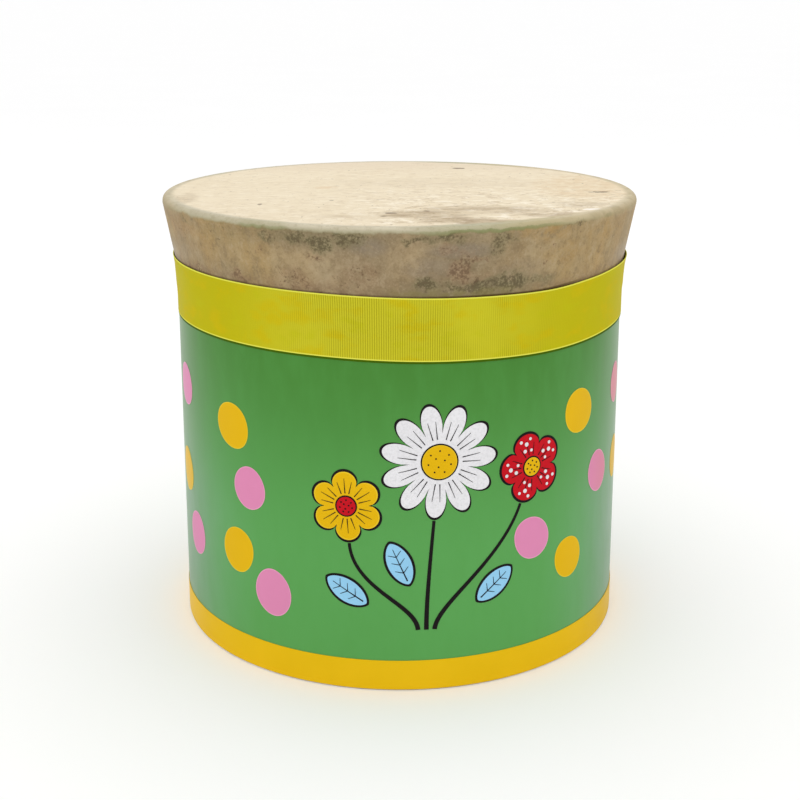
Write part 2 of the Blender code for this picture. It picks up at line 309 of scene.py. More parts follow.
def green_paint():
    """Satin green on the outside and over the foot's rim, bare grey tube inside; the green carries
    painted shade and sheen.
    """
    surface = Surface("green_paint", 0.32, specular=0.24)
    along = surface.axes(surface.unrolled)[1]
    across, _, height = surface.axes(surface.place)[0:3]
    broad = surface.noise(surface.place, 14.0, 2.0)
    fine = surface.noise(surface.stretched(surface.place, (1.0, 1.0, 0.35)), 160.0, 4.0)
    low = surface.mix(broad, rgb(0.082, 0.310, 0.065), rgb(0.091, 0.340, 0.077))
    aside = surface.maths("ABSOLUTE", across)
    # Painted sheen: a paler, greyer green low down on both sides.
    painted_sheen = surface.product(surface.between(aside, 0.055, 0.100),
                           surface.between(height, 0.120, 0.055))
    low = surface.mix(painted_sheen, low, rgb(0.126, 0.324, 0.136))
    # Painted shade: the green is darker towards the top, below the ribbon, and lighter low down.
    high = surface.mix(broad, rgb(0.042, 0.187, 0.0150), rgb(0.049, 0.208, 0.0210))
    green = surface.mix(surface.between(height, 0.055, 0.150), low, high)
    green = surface.mix(surface.product(surface.between(fine, 0.35, 0.75), 0.25), green,
                        rgb(0.076, 0.300, 0.056))
    # Painted sheen: the green greyer at both sides, up to just below the ribbon.
    painted_grey_sheen = surface.product(surface.between(aside, 0.074, 0.101),
                                 surface.between(height, 0.155, 0.120))
    green = surface.mix(painted_grey_sheen, green, rgb(1.02, 0.81, 1.04), "MULTIPLY")
    # Painted shade: a deeper, darker green near both sides high up, under the ribbon.
    painted_side_shade = surface.product(surface.between(aside, 0.066, 0.084),
                                 surface.between(aside, 0.102, 0.093),
                                 surface.between(height, 0.120, 0.150))
    green = surface.mix(painted_side_shade, green, rgb(0.80, 0.94, 0.40), "MULTIPLY")
    grain = surface.noise(surface.stretched(surface.place, (1.0, 1.0, 6.0)), 60.0, 5.0)
    bare = surface.mix(grain, rgb(0.38, 0.37, 0.34), rgb(0.52, 0.51, 0.47))
    inside = surface.between(along, outside_run + 0.0022, outside_run + 0.0026)
    surface.colour(surface.mix(inside, green, bare))
    surface.roughness(surface.maths("ADD", surface.product(fine, 0.08), 0.27))
    peel = surface.noise(surface.place, 260.0, 1.0)
    surface.bump(peel, 0.00004, 0.12)
    return surface.material


def shell():
    """The tube, finely turned, with its flare and rounded mouth."""
    global outside_run
    outside = [(body_radius, height) for height in evenly(foot_bevel, bend_start(), 24)[:-1]]
    outside += arc((body_radius + flare_bend_radius, bend_start()), flare_bend_radius, pi,
                   pi - flare_angle, 8)
    outside += arc(mouth_round_centre(), mouth_round, -flare_angle, pi / 2, 8)
    outside_run = sum(hypot(b[0] - a[0], b[1] - a[1]) for a, b in zip(outside, outside[1:]))
    mouth_bore = wall_radius(-shell_wall, shell_height)
    drop = mouth_inner_bevel
    inside = [(mouth_bore + drop, shell_height),
              (mouth_bore - drop * tan(flare_angle), shell_height - drop)]
    inside += arc((body_radius + flare_bend_radius, bend_start()), flare_bend_radius + shell_wall,
                  pi - flare_angle, pi, 8)
    bore = body_radius - shell_wall
    inside += [(bore, height) for height in evenly(bend_start(), foot_bevel, 24)[1:]]
    foot = [(bore + foot_bevel, 0.0), (body_radius - foot_bevel, 0.0)]
    piece = turned("drum_shell", outside + inside + foot, green_paint())
    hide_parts("shell")


# Stains on the hide's collar: distance round from the front, height, reach round, reach up, share
olive_stains = (
    (-0.0987, 0.1899, 0.0050, 0.0022, 0.60),
    (-0.0749, 0.1886, 0.0160, 0.0080, 0.34),
    (-0.0492, 0.1893, 0.0050, 0.0028, 0.80),
    (-0.0387, 0.1888, 0.0062, 0.0045, 0.90),
    (-0.0301, 0.1880, 0.0068, 0.0046, 1.00),
    (-0.0184, 0.1899, 0.0064, 0.0044, 0.90),
    (-0.0330, 0.1898, 0.0260, 0.0052, 0.50),
    (0.0065, 0.1898, 0.0062, 0.0024, 0.75),
    (0.0149, 0.1908, 0.0050, 0.0018, 1.00),
    (0.0188, 0.1895, 0.0095, 0.0026, 0.62),
    (0.0391, 0.1876, 0.0066, 0.0080, 0.74),
    (0.0098, 0.1706, 0.0092, 0.0044, 0.95),
    (0.0292, 0.1690, 0.0165, 0.0046, 1.00),
    (0.0442, 0.1708, 0.0122, 0.0048, 1.00),
    (0.0580, 0.1702, 0.0100, 0.0032, 0.65),
    (0.0716, 0.1914, 0.0110, 0.0020, 0.60),
    (0.1750, 0.1870, 0.0300, 0.0070, 0.60),
    (0.2600, 0.1740, 0.0500, 0.0060, 0.50),
    (0.4000, 0.1860, 0.0400, 0.0060, 0.70),
    (0.4800, 0.1760, 0.0300, 0.0060, 0.50),
)
rusty_stains = (
    (-0.0979, 0.1689, 0.0140, 0.0036, 0.80),
    (-0.0684, 0.1699, 0.0100, 0.0038, 0.95),
    (-0.0553, 0.1816, 0.0050, 0.0022, 0.50),
    (-0.0415, 0.1715, 0.0084, 0.0062, 0.70),
    (-0.0322, 0.1818, 0.0064, 0.0028, 0.55),
    (-0.0150, 0.1728, 0.0078, 0.0092, 0.58),
    (-0.0300, 0.1700, 0.0340, 0.0050, 0.40),
    (0.0173, 0.1848, 0.0052, 0.0030, 0.75),
    (0.0236, 0.1773, 0.0058, 0.0092, 0.90),
    (0.0299, 0.1726, 0.0062, 0.0032, 0.60),
    (0.0274, 0.1813, 0.0048, 0.0028, 0.85),
    (0.0615, 0.1838, 0.0030, 0.0022, 0.95),
    (0.0602, 0.1776, 0.0022, 0.0014, 0.90),
    (0.2150, 0.1830, 0.0240, 0.0080, 0.60),
    (0.3300, 0.1760, 0.0300, 0.0080, 0.70),
    (0.5200, 0.1850, 0.0200, 0.0070, 0.50),
)
mauve_stains = (
    (-0.1055, 0.1770, 0.0190, 0.0080, 0.35),
    (-0.0114, 0.1863, 0.0090, 0.0048, 0.85),
    (0.0230, 0.1845, 0.0160, 0.0042, 0.95),
    (0.0122, 0.1777, 0.0140, 0.0060, 0.65),
    (0.0500, 0.1755, 0.0160, 0.0050, 0.40),
    (0.1158, 0.1720, 0.0180, 0.0060, 0.50),
    (0.2400, 0.1860, 0.0240, 0.0050, 0.60),
    (0.4300, 0.1790, 0.0300, 0.0060, 0.60),
)
# Painted shade on the collar, many patches under the rim and just over the ribbon, same columns
painted_shade_patches = (
    (-0.1200, 0.1900, 0.0300, 0.0040, 0.40),
    (-0.0750, 0.1712, 0.0300, 0.0060, 0.40),
    (-0.0340, 0.1905, 0.0460, 0.0090, 0.70),
    (0.0250, 0.1905, 0.0300, 0.0070, 0.50),
    (0.0270, 0.1835, 0.0200, 0.0120, 0.65),
    (0.0260, 0.1760, 0.0240, 0.0080, 0.35),
    (0.0300, 0.1692, 0.0460, 0.0068, 0.90),
    (0.0600, 0.1900, 0.0160, 0.0030, 0.35),
    (0.1080, 0.1830, 0.0260, 0.0140, 0.22),
    (0.1500, 0.1780, 0.0300, 0.0140, 0.50),
    (0.3000, 0.1850, 0.0900, 0.0080, 0.40),
    (0.4600, 0.1760, 0.0600, 0.0080, 0.40),
)
ochre_stains = (
    (-0.0950, 0.1850, 0.0200, 0.0100, 0.50),
    (0.0462, 0.1908, 0.0070, 0.0034, 0.70),
    (0.0602, 0.1895, 0.0120, 0.0062, 0.90),
    (0.0700, 0.1800, 0.0160, 0.0060, 0.50),
    (0.0950, 0.1860, 0.0200, 0.0060, 0.50),
)
# On the playing side: place across, place towards the back, reach across, reach back, share
head_smudges = (
    (0.010, -0.073, 0.024, 0.0130, 0.80),
    (0.022, -0.086, 0.020, 0.0090, 0.95),
    (0.036, -0.091, 0.024, 0.0080, 0.90),
    (0.036, -0.060, 0.034, 0.0140, 0.50),
    (0.062, -0.073, 0.020, 0.0080, 0.55),
    (0.076, -0.046, 0.018, 0.0100, 0.30),
    (-0.016, -0.078, 0.022, 0.0100, 0.20),
    (-0.093, -0.030, 0.008, 0.0200, 0.40),
    (0.020, 0.020, 0.060, 0.0200, 0.12),
)
head_marks = (
    (0.0880, -0.0098, 0.0068, 0.0028, 1.00),
    (0.0297, 0.0735, 0.0040, 0.0034, 0.70),
    (-0.0583, -0.0457, 0.0015, 0.0026, 0.95),
    (-0.0034, -0.0695, 0.0034, 0.0024, 0.85),
    (-0.0057, -0.0771, 0.0024, 0.0018, 0.70),
    (0.0110, -0.0640, 0.0022, 0.0018, 0.55),
    (-0.0290, -0.0350, 0.0018, 0.0020, 0.50),
    (-0.0180, -0.0500, 0.0030, 0.0018, 0.45),
    (-0.0700, 0.0300, 0.0014, 0.0020, 0.45),
)
# Painted highlights: pale spots on the playing side, same columns
painted_head_highlights = (
    (0.0795, -0.0592, 0.0066, 0.0036, 0.95),
    (0.0400, -0.0780, 0.0050, 0.0026, 0.45),
    (-0.0960, -0.0180, 0.0040, 0.0100, 0.50),
)
ochre_patches = (
    (-0.0333, 0.0040, 0.0080, 0.0070, 0.80),
    (0.0850, 0.0060, 0.0350, 0.0600, 0.75),
    (-0.0100, 0.0600, 0.0300, 0.0200, 0.25),
)


def spread(surface, across, along, table):
    """Where the ovals of a table lie, from 0 to each one's share."""
    whole = None
    for x, y, reach_x, reach_y, share in table:
        spot = surface.product(surface.blob(across, along, (x, y), (reach_x, reach_y)), share)
        whole = spot if whole is None else surface.maths("MAXIMUM", whole, spot)
    return whole


def broken(surface, whole, grain, low, high, soft):
    """A spread broken up by a grain: the grain shows above high where the spread is 0, low at 1."""
    level = surface.maths("SUBTRACT", high, surface.product(whole, high - low))
    shown = surface.between(surface.maths("SUBTRACT", grain, level), -0.5 * soft, 0.5 * soft)
    return surface.product(shown, surface.between(whole, 0.02, 0.35))


def head_colour(surface, across, back):
    """The playing side: cream with darker and paler fibres, worn and smudged at the front, with a few
    pale painted highlights.
    """
    place = surface.place
    cloud = surface.noise(place, 16.0, 3.0)
    grain = surface.noise(place, 240.0, 4.0, 0.6)
    fibres = surface.noise(surface.stretched(place, (0.9, 1.0, 1.0)), 230.0, 6.0, 0.68, 0.4)
    wisps = surface.noise(surface.stretched(place, (0.8, 1.1, 1.0)), 200.0, 6.0, 0.66, 0.7)
    dust = surface.noise(surface.stretched(place, (0.8, 1.2, 1.0)), 120.0, 6.0, 0.72)
    front = surface.product(surface.between(back, 0.03, -0.060), surface.maths(
        "ADD", surface.product(surface.between(across, -0.038, 0.012), 0.90), 0.10))
    wear = surface.maths("ADD", surface.product(front, 0.75), 0.30)
    colour = surface.mix(cloud, rgb(0.745, 0.632, 0.448), rgb(0.800, 0.692, 0.506))
    colour = surface.mix(surface.product(surface.between(grain, 0.44, 0.72), 0.22), colour,
                         rgb(0.62, 0.500, 0.330))
    colour = surface.mix(surface.product(surface.between(fibres, 0.51, 0.62), wear, 0.62), colour,
                         rgb(0.50, 0.380, 0.235))
    colour = surface.mix(surface.product(surface.between(wisps, 0.51, 0.61), wear, 0.70), colour,
                         rgb(0.93, 0.850, 0.700))
    colour = surface.mix(surface.product(surface.between(back, 0.045, 0.100), 0.6), colour,
                         rgb(0.70, 0.580, 0.430))
    ochre = broken(surface, spread(surface, across, back, ochre_patches), grain, 0.30, 0.80, 0.40)
    colour = surface.mix(surface.product(ochre, 0.45), colour, rgb(0.68, 0.49, 0.270))
    smudge = spread(surface, across, back, head_smudges)
    colour = surface.mix(surface.product(smudge, 0.72), colour, rgb(0.45, 0.340, 0.200))
    dark = surface.product(smudge, surface.between(dust, 0.44, 0.58))
    colour = surface.mix(surface.product(dark, 0.78), colour, rgb(0.32, 0.225, 0.122))
    # Painted highlights: pale spots broken up by the dust grain.
    painted_highlight = broken(surface, spread(surface, across, back, painted_head_highlights), dust, 0.34, 0.80, 0.16)
    colour = surface.mix(surface.product(painted_highlight, 0.80), colour, rgb(0.97, 0.93, 0.88))
    mark = broken(surface, spread(surface, across, back, head_marks), grain, 0.30, 0.66, 0.16)
    colour = surface.mix(surface.product(mark, 0.80), colour, rgb(0.17, 0.115, 0.065))
    pores = surface.between(surface.noise(place, 430.0, 1.0), 0.735, 0.765)
    return surface.mix(surface.product(pores, 0.6), colour, rgb(0.24, 0.165, 0.10))


def collar_colour(surface, across, height, round_drum):
    """The turned-down side: tan with olive, rusty and mauve stains; painted light makes it warmer ochre
    towards both sides and paler at its lower ends, and painted shade darkens patches and a line over
    the ribbon.
    """
    place = surface.place
    shifted = surface.stretched(place, (1.0, 1.0, 1.0), (0.7, 0.3, 0.5))
    stray_round = surface.maths("SUBTRACT", surface.noise(place, 130.0, 4.0, 0.6), 0.5)
    stray_up = surface.maths("SUBTRACT", surface.noise(shifted, 150.0, 4.0, 0.6), 0.5)
    spot_round = surface.maths("ADD", round_drum, surface.product(stray_round, 0.022))
    spot_up = surface.maths("ADD", height, surface.product(stray_up, 0.012))
    mottle = surface.noise(place, 75.0, 6.0, 0.62)
    patches = surface.noise(place, 26.0, 3.0)
    strokes = surface.noise(surface.stretched(place, (1.0, 1.0, 0.16)), 75.0, 3.0, 0.6)
    fibre = surface.noise(surface.stretched(place, (1.0, 1.0, 0.85)), 250.0, 5.0, 0.68)
    blotch = surface.noise(surface.stretched(place, (1.0, 1.0, 1.2)), 150.0, 6.0, 0.66)
    clusters = surface.noise(place, 300.0, 4.0, 0.66)
    specks = surface.noise(place, 1000.0, 3.0, 0.60)
    specks = surface.maths("ADD", specks, surface.product(
        surface.maths("SUBTRACT", clusters, 0.5), 0.6))
    colour = surface.mix(surface.between(mottle, 0.34, 0.68), rgb(0.264, 0.193, 0.106),
                         rgb(0.385, 0.292, 0.166))
    # Painted light: a warmer ochre tone, with more ochre strokes, towards the drum's left and right
    # sides.
    painted_side_warmth = surface.between(surface.maths("ABSOLUTE", across), 0.030, 0.066)
    colour = surface.mix(surface.product(painted_side_warmth, 0.75), colour,
                         surface.mix(surface.between(patches, 0.30, 0.62), rgb(0.335, 0.238, 0.110),
                                     rgb(0.392, 0.264, 0.098)))
    stroke_share = surface.maths("ADD", surface.product(painted_side_warmth, 0.22), 0.08)
    colour = surface.mix(surface.product(surface.between(strokes, 0.46, 0.64), stroke_share), colour,
                         rgb(0.430, 0.262, 0.090))
    colour = surface.mix(surface.product(surface.between(strokes, 0.50, 0.36), 0.16), colour,
                         rgb(0.400, 0.330, 0.205))
    frontal = surface.between(surface.maths("ABSOLUTE", across), 0.104, 0.086)
    fibre_share = surface.maths("ADD", surface.product(frontal, 0.30), 0.16)
    colour = surface.mix(surface.product(surface.between(fibre, 0.47, 0.66), fibre_share), colour,
                         rgb(0.180, 0.124, 0.060))
    colour = surface.mix(surface.product(surface.between(fibre, 0.48, 0.32), 0.34), colour,
                         rgb(0.450, 0.355, 0.220))
    # Painted shade: soft darker patches.
    painted_shade = spread(surface, *around(round_drum, height, painted_shade_patches))
    colour = surface.mix(surface.product(painted_shade, 0.60), colour, rgb(0.172, 0.136, 0.080))
    ochre = spread(surface, *around(round_drum, height, ochre_stains))
    ochre = surface.product(ochre, surface.between(blotch, 0.36, 0.58), 0.60)
    colour = surface.mix(ochre, colour, rgb(0.400, 0.240, 0.072))
    mauve = spread(surface, *around(round_drum, height, mauve_stains))
    mauve = surface.product(mauve, surface.between(blotch, 0.28, 0.52), 0.55)
    colour = surface.mix(mauve, colour, rgb(0.222, 0.182, 0.138))
    # Painted sheen: a paler, greyer lower collar at its left and right ends.
    painted_end_sheen = surface.product(surface.between(surface.maths("ABSOLUTE", across), 0.086, 0.104),
                               surface.between(height, 0.1800, 0.1715), 0.55)
    colour = surface.mix(painted_end_sheen, colour, rgb(0.430, 0.375, 0.320))
    olive = spread(surface, *around(spot_round, spot_up, olive_stains))
    tint = surface.product(olive, surface.between(blotch, 0.28, 0.52), 0.80)
    colour = surface.mix(tint, colour, rgb(0.180, 0.152, 0.074))
    rusty = spread(surface, *around(spot_round, spot_up, rusty_stains))
    tint = surface.product(rusty, surface.between(blotch, 0.28, 0.56), 0.50)
    colour = surface.mix(tint, colour, rgb(0.265, 0.158, 0.085))
    dark_specks = broken(surface, olive, specks, 0.46, 0.82, 0.22)
    colour = surface.mix(surface.product(dark_specks, 0.64), colour, rgb(0.070, 0.052, 0.025))
    brown_specks = broken(surface, rusty, specks, 0.48, 0.84, 0.22)
    colour = surface.mix(surface.product(brown_specks, 0.62), colour, rgb(0.094, 0.046, 0.026))
    colour = surface.mix(surface.product(surface.between(specks, 0.52, 0.70), 0.26), colour,
                         rgb(0.165, 0.112, 0.058))
    colour = surface.mix(surface.product(surface.between(specks, 0.46, 0.30), 0.22), colour,
                         rgb(0.460, 0.360, 0.225))
    flecks = surface.between(specks, 0.70, 0.82)
    colour = surface.mix(surface.product(flecks, 0.50), colour, rgb(0.110, 0.066, 0.038))
    over_ribbon = surface.maths("SUBTRACT", height, ribbon_line(surface, across, 1.0))
    moss = surface.product(surface.between(over_ribbon, 0.0046, 0.0012),
                           surface.between(across, -0.012, 0.004),
                           surface.between(across, 0.056, 0.036),
                           surface.between(blotch, 0.34, 0.56), 0.60)
    colour = surface.mix(moss, colour, rgb(0.232, 0.215, 0.060))
    # Darker in blotches up to 5 mm over the ribbon's top edge.
    darker_over_ribbon = surface.product(surface.between(over_ribbon, 0.0050, 0.0),
                            surface.between(blotch, 0.36, 0.60))
    colour = surface.mix(surface.product(darker_over_ribbon, 0.50), colour, rgb(0.170, 0.105, 0.062))
    # Painted contact shadow: a dark line just over the ribbon's top edge, stronger a little right of
    # the front and fading out at the right end.
    crease = surface.product(surface.between(over_ribbon, 0.0010, 0.0003), surface.maths(
        "ADD", surface.product(surface.between(across, 0.0, 0.03), 0.45), 0.40),
        surface.between(across, 0.085, 0.060))
    return surface.mix(crease, colour, rgb(0.070, 0.040, 0.006))


def around(round_drum, height, table):
    """A table of stains with its distances taken once round the drum from the front."""
    circumference = 2 * pi * body_radius
    return round_drum, height, [(row[0] % circumference, *row[1:]) for row in table]


def hide():
    """Natural hide: pale and streaked on top, paler over the mouth's rim with painted shade where it
    rounds down, stained below, with painted light and shade there too.
    """
    surface = Surface("hide", 0.62, specular=0.16)
    across, back, height = surface.axes(surface.place)[0:3]
    round_drum, along = surface.axes(surface.unrolled)[0:2]
    top = head_colour(surface, across, back)
    side = collar_colour(surface, across, height, round_drum)
    blotch = surface.noise(surface.place, 120.0, 6.0, 0.68)
    patches = surface.noise(surface.place, 26.0, 3.0)
    speckle = surface.noise(surface.place, 520.0, 5.0, 0.70)
    rim = surface.mix(surface.between(blotch, 0.30, 0.70), rgb(0.490, 0.435, 0.312),
                      rgb(0.625, 0.565, 0.425))
    rough = surface.product(surface.maths("SUBTRACT", blotch, 0.5), 0.0040)
    rough_along = surface.maths("ADD", along, rough)
    mossy = surface.maths("MAXIMUM", surface.product(surface.between(patches, 0.50, 0.64), 0.7),
                          surface.blob(across, height, (0.036, skin_top), (0.036, 0.02)))
    rim = surface.mix(surface.product(mossy, 0.62), rim, rgb(0.385, 0.365, 0.215))
    beside = surface.between(surface.maths("ABSOLUTE", across), 0.030, 0.065)
    # Painted shade: the rim darker as it rounds down, over its whole width at the front and only near
    # its lower edge at the sides.
    painted_rim_shade = surface.mix(beside, surface.between(rough_along, side_run - 0.0016, side_run),
                          surface.between(rough_along, rim_run + 0.0004, side_run - 0.0004))
    rim = surface.mix(surface.product(painted_rim_shade, 0.44), rim, rgb(0.320, 0.285, 0.165))
    rim = surface.mix(surface.between(across, 0.026, 0.056), rim, rgb(1.06, 0.985, 0.86),
                      "MULTIPLY")
    rim = surface.mix(surface.product(surface.between(speckle, 0.50, 0.66), 0.36), rim,
                      rgb(0.30, 0.255, 0.145))
    early = surface.product(surface.between(across, 0.0, 0.030), surface.between(
        across, 0.085, 0.060), 0.0024)
    onto_rim = surface.between(surface.maths("ADD", rough_along, early), rim_run - 0.0020,
                               rim_run + 0.0016)
    at_ends = surface.maths("MAXIMUM", surface.between(across, 0.062, 0.094),
                            surface.between(across, -0.086, -0.101))
    sharp_side = surface.between(rough_along, side_run - 0.0002, side_run + 0.0012)
    soft_side = surface.between(rough_along, side_run - 0.0034, side_run + 0.0034)
    down_side = surface.mix(at_ends, sharp_side, soft_side)
    rim = surface.mix(surface.product(at_ends, 0.60), rim, surface.mix(
        surface.between(blotch, 0.38, 0.62), rgb(0.400, 0.325, 0.185), rgb(0.585, 0.500, 0.335)))
    blend = surface.mix(onto_rim, top, rim)
    tube_line = surface.product(surface.between(rough_along, side_run - 0.0006, side_run),
                                surface.maths("ADD", surface.product(mossy, 0.55), 0.12))
    blend = surface.mix(down_side, blend, side)
    line_end = surface.between(rough_along, side_run + 0.0016, side_run + 0.0006)
    blend = surface.mix(surface.product(tube_line, line_end), blend, rgb(0.180, 0.205, 0.070))
    under = surface.between(along, edge_run, edge_run + 0.0006)
    bare = surface.mix(blotch, rgb(0.40, 0.33, 0.22), rgb(0.52, 0.45, 0.33))
    surface.colour(surface.mix(under, blend, bare))
    relief = surface.maths("ADD", surface.product(blotch, 0.8), surface.product(speckle, 0.5))
    surface.roughness(surface.maths("ADD", surface.product(blotch, 0.25), 0.45))
    surface.bump(relief, 0.00035, 0.45)
    return surface.material


def hide_off(height):
    """How far the hide's outside stands off the tube: full on the flare, skived to its edge."""
    rise = min(1.0, max(0.0, (height - skin_edge) / 0.0150))
    return 0.00024 + rise * (seat_gap + skin_thickness - 0.00024)


def skin_head():
    """The hide: taut over the mouth, round over its rim, a little uneven down the flare."""
    global rim_run, side_run, edge_run
    off = seat_gap + skin_thickness
    centre = mouth_round_centre()
    mouth_bore = wall_radius(-shell_wall, shell_height)
    flat = [(radius, skin_top) for radius in evenly(0.0, mouth_bore, 30)]
    flat += [(radius, skin_top) for radius in evenly(mouth_bore, centre[0], 3)[1:-1]]
    rounding = arc(centre, mouth_round + off, pi / 2, -flare_angle, 12)
    cone_top = rounding[-1][1]
    cone_foot = bend_start() + (flare_bend_radius - off) * sin(flare_angle)
    cone = [(wall_radius(off, z), z) for z in evenly(cone_top, cone_foot, 22)[1:]]
    bend = [(wall_radius(hide_off(z), z), z) for z in evenly(cone_foot, bend_start(), 6)[1:]]
    straight = [(body_radius + hide_off(z), z) for z in evenly(bend_start(), skin_edge, 6)[1:]]
    outer = flat + rounding + cone + bend + straight
    lengths = [hypot(b[0] - a[0], b[1] - a[1]) for a, b in zip(outer, outer[1:])]
    rim_run = mouth_bore + 0.0002
    side_run = sum(lengths[:len(flat) + len(rounding) - 1]) - 0.0016
    edge_run = sum(lengths)
    in_off = 0.00004
    inner = [(body_radius + in_off, z) for z in evenly(skin_edge, bend_start(), 3)]
    inner += [(wall_radius(in_off, z), z) for z in evenly(bend_start(), cone_top - 0.0006, 8)[1:]]
    inner += arc(centre, mouth_round + in_off, -flare_angle, pi / 2, 6)
    inner += [(radius, shell_height + in_off) for radius in evenly(centre[0], 0.0, 12)[1:]]

    top_points = len(flat)
    outer_points = len(outer)

    def shape(angle, radius, height, place):
        if place >= outer_points:
            return radius, height
        if place < top_points:
            near = min(1.0, max(0.0, (radius - 0.02) / 0.06))
            spot = Vector((radius * sin(angle) * 45, radius * cos(angle) * 45, 3.1))
            return radius, height - near * 0.00008 * (1 + noise.noise(spot))
        fade = min(1.0, (place - top_points) / 10)
        dent = waver(angle, height, 5.0, 0.00012, 7.7) + waver(angle, height, 16.0, 0.00007, 1.3)
        return radius - fade * (0.00014 - dent), height
    piece = turned("drum_skin", outer + inner, hide(), shape=shape, closed=False)
    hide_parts("skin_head")


def wound_band(name, material, lap, thickness, stations, section, levels, seat, pucker):
    """A strip wound once from the back, its end laid over its start, with its own map.

    section(station) gives the shares across the strip, each with extra thickness; levels(angle,
    share) the height; seat(height) the radius; pucker(angle, share) how far it stands off.
    """
    whole = 2 * pi * body_radius + lap
    bm = bmesh.new()
    layer = bm.loops.layers.uv.new("unrolled")
    loops = []
    runs = evenly(0.0, whole, stations)
    for index, run in enumerate(runs):
        angle = run / body_radius
        into = min(1.0, max(0.0, (run - (whole - lap - overlap_ramp)) / overlap_ramp))
        lift = into * (thickness + 0.00005)
        front, rear = [], []
        for share, raise_front in section(index):
            height = levels(angle, share)
            base = seat(height) + lift + pucker(angle, share)
            for side, radius in ((rear, base), (front, base + thickness + raise_front)):
                side.append(bm.verts.new((radius * sin(angle), radius * cos(angle), height)))
        loops.append(rear + front[::-1])
    shares = [share for share, _ in section(0)]
    across = shares + shares[::-1]
    count = len(across)
    for station in range(stations):
        first, second = loops[station], loops[station + 1]
        for place in range(count):
            following = (place + 1) % count
            face = bm.faces.new((first[place], second[place], second[following], first[following]))
            corners = ((runs[station], across[place]), (runs[station + 1], across[place]),
                       (runs[station + 1], across[following]), (runs[station], across[following]))
            for loop, corner in zip(face.loops, corners):
                loop[layer].uv = corner
    bm.faces.new(loops[0])
    bm.faces.new(reversed(loops[-1]))
    return add_mesh(name, bm, material, crease=radians(50))


def ribbon_cloth():
    """Yellow ribbed ribbon with paler selvedges, painted shade in its rib valleys, painted light across
    its width and a painted shadow line along its lower edge.
    """
    surface = Surface("yellow_ribbon", 0.60, specular=0.03)
    across, back = surface.axes(surface.place)[0:2]
    run, share = surface.axes(surface.unrolled)[0:2]
    rib = surface.maths("SINE", surface.product(run, 2 * pi / rib_pitch))
    valley = surface.between(rib, 0.2, -1.0)
    broad = surface.noise(surface.place, 22.0, 3.0)
    patches = surface.noise(surface.stretched(surface.place, (1.0, 1.0, 1.8)), 70.0, 4.0)
    body = surface.mix(broad, rgb(0.512, 0.472, 0.0160), rgb(0.562, 0.530, 0.0310))
    # Painted light: deeper yellow towards both sides, leaving the front paler as a painted sheen, with
    # a greyer sheen at the far sides.
    outer = surface.between(surface.maths("ABSOLUTE", across), 0.030, 0.075)
    body = surface.mix(surface.product(outer, 0.85), body, rgb(0.464, 0.410, 0.0015))
    ends = surface.between(surface.maths("ABSOLUTE", across), 0.085, 0.102)
    body = surface.mix(surface.product(ends, 0.80), body, rgb(0.520, 0.440, 0.0450))
    body = surface.mix(surface.product(surface.between(patches, 0.50, 0.68), 0.65), body,
                       rgb(0.560, 0.425, 0.0020))
    body = surface.mix(surface.product(surface.between(patches, 0.46, 0.30), 0.50), body,
                       rgb(0.470, 0.460, 0.0060))
    middle = surface.maths("ABSOLUTE", surface.maths("SUBTRACT", across, 0.008))
    clear = surface.maths("MAXIMUM", surface.between(middle, 0.060, 0.036),
                          surface.product(surface.between(back, -0.030, 0.010), 0.80))
    clear = surface.maths("ADD", surface.product(clear, 0.60), 0.08)
    # Painted shade in the rib valleys, strongest across the middle and over the back half.
    body = surface.mix(surface.product(valley, surface.between(broad, 0.28, 0.58), clear), body,
                       rgb(0.240, 0.200, 0.001))
    near_edge = surface.maths("ABSOLUTE", surface.maths("SUBTRACT", share, 0.5))
    selvedge = surface.between(near_edge, 0.475, 0.485)
    body = surface.mix(selvedge, body, rgb(0.73, 0.72, 0.088))
    # Painted shadow: a dark green line along the ribbon's lower edge.
    painted_shadow_line = surface.between(share, 0.003, -0.002)
    thread = surface.noise(surface.stretched(surface.place, (1.0, 1.0, 5.0)), 420.0, 2.0)
    body = surface.mix(surface.product(thread, 0.14), body, rgb(0.60, 0.55, 0.008))
    surface.colour(surface.mix(painted_shadow_line, body, rgb(0.050, 0.110, 0.0005)))
    surface.bump(thread, 0.00008, 0.5)
    return surface.material


